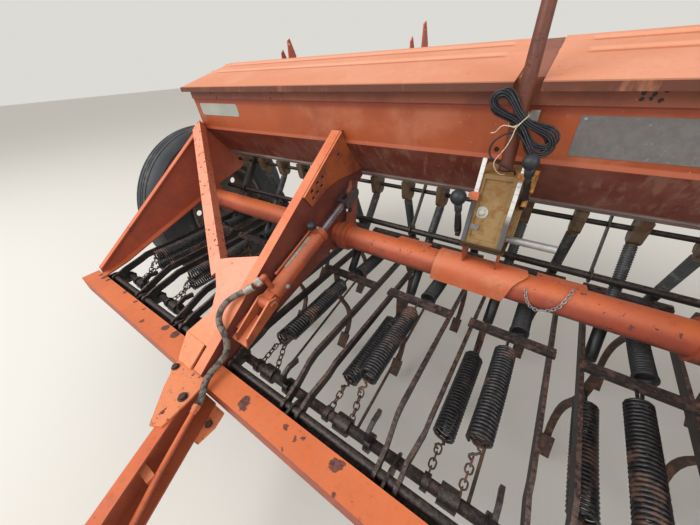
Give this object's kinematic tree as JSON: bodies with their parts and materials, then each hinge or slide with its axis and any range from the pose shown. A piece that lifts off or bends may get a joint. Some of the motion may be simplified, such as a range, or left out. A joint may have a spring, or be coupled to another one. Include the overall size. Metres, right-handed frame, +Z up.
{
  "type": "seed drill",
  "caption": "Trailed seed drill: hopper with two lids, rows of sprung tines under drag frames, rockshaft-carried wheels, lift cylinder, A-frame drawbar and jack.",
  "frame": {"origin": "on the ground below the middle of the machine's bounding box", "axes": "+Z up, +X to the right as seen from the towing vehicle's side looking rearwards, +Y to the rear, drawbar towards -Y"},
  "size_m": [4.4, 3.52, 1.85],
  "materials": {
    "frame_paint": "faded orange-red paint with rust chips",
    "hopper_paint": "scratched red-brown paint",
    "lid_paint": "sun-faded orange paint",
    "ochre_casting": "ochre paint, worn",
    "greasy_steel": "dark and greasy",
    "spring_steel": "dark with some rust",
    "rusty_steel": "rusted",
    "tube_rubber": "dull",
    "tyre_rubber": "weathered",
    "rim_paint": "dark and dirty",
    "bright_steel": "zinc, dull",
    "chrome_rod": "polished",
    "hose_rubber": "worn braid",
    "cable_black": "semi-gloss sheath"
  },
  "bodies": {
    "frame": {"front_rail": "frame_paint", "end_plate_left": "frame_paint", "end_plate_right": "frame_paint", "arm_left": "frame_paint", "arm_right": "frame_paint", "strut_left": "frame_paint", "strut_right": "frame_paint", "drawbar_left": "frame_paint", "drawbar_right": "frame_paint", "drawbar_gussets": "frame_paint", "hitch_plates": "frame_paint", "jack_sleeve": "frame_paint", "hopper": "hopper_paint", "seed_cups": "ochre_casting", "feed_shaft": "greasy_steel", "cross_shaft": "greasy_steel", "shaft_hangers": "greasy_steel", "front_seed_tubes": "tube_rubber", "rear_seed_tubes": "tube_rubber", "gearbox_housing": "ochre_casting", "gearbox_scales": "bright_steel", "gearbox_levers": "greasy_steel", "gearbox_shaft": "bright_steel", "centre_pole": "frame_paint", "saddle_guard": "frame_paint", "rear_brackets": "frame_paint", "rail_brackets": "greasy_steel", "hinge_angle": "greasy_steel", "hinge_shaft": "greasy_steel", "tension_shaft": "rusty_steel", "tension_levers": "greasy_steel", "drag_bars": "greasy_steel", "cross_bars": "greasy_steel", "front_tines": "rusty_steel", "rear_tines": "rusty_steel", "upper_springs": "spring_steel", "lower_springs": "spring_steel", "rear_springs": "spring_steel", "spring_chains": "rusty_steel", "spring_rods": "rusty_steel", "cylinder_bracket": "frame_paint", "hydraulic_pipe": "frame_paint", "hydraulic_hose": "hose_rubber", "cable_hank": "cable_black"},
    "rockshaft": {"rockshaft_tube": "frame_paint", "rockshaft_ends": "frame_paint", "lift_lever": "frame_paint", "crank_left": "frame_paint", "crank_right": "frame_paint"},
    "wheel_left": {"rim_left": "rim_paint", "tyre_left": "tyre_rubber"},
    "wheel_right": {"rim_right": "rim_paint", "tyre_right": "tyre_rubber"},
    "lid_left": {"lid_left": "lid_paint"},
    "lid_right": {"lid_right": "lid_paint"},
    "jack": {"jack_leg": "bright_steel"},
    "lift_barrel": {"cylinder_barrel": "frame_paint"},
    "lift_rod": {"cylinder_rod": "chrome_rod"}
  },
  "joints": [
    {"name": "rockshaft_turn", "type": "hinge", "parent": "frame", "child": "rockshaft", "pos_m": [0, 0.803, 0.79], "axis": [-1, 0, 0], "range_deg": [-12, 24]},
    {"name": "wheel_left_spin", "type": "hinge", "parent": "rockshaft", "child": "wheel_left", "pos_m": [-2.075, 1, 0.6], "axis": [1, 0, 0], "continuous": true},
    {"name": "wheel_right_spin", "type": "hinge", "parent": "rockshaft", "child": "wheel_right", "pos_m": [2.075, 1, 0.6], "axis": [1, 0, 0], "continuous": true},
    {"name": "lid_left_hinge", "type": "hinge", "parent": "frame", "child": "lid_left", "pos_m": [-0.93, 1.615, 1.432], "axis": [-1, 0, 0], "range_deg": [0, 78]},
    {"name": "lid_right_hinge", "type": "hinge", "parent": "frame", "child": "lid_right", "pos_m": [0.93, 1.615, 1.432], "axis": [-1, 0, 0], "range_deg": [0, 78]},
    {"name": "jack_slide", "type": "slide", "parent": "frame", "child": "jack", "axis": [0, 0, 1], "range_m": [0, 0.3]},
    {"name": "barrel_pivot", "type": "hinge", "parent": "frame", "child": "lift_barrel", "pos_m": [-0.64, 0.25, 0.764], "axis": [-1, 0, 0], "range_deg": [-3, 6]},
    {"name": "rod_slide", "type": "slide", "parent": "lift_barrel", "child": "lift_rod", "axis": [0, 0.9326, 0.3608], "range_m": [-0.035, 0.07]}
  ],
  "couplings": [
    {"joint": "barrel_pivot", "follows": "rockshaft_turn", "ratio": 0.211},
    {"joint": "rod_slide", "follows": "rockshaft_turn", "m_per_rad": 0.1625}
  ]
}
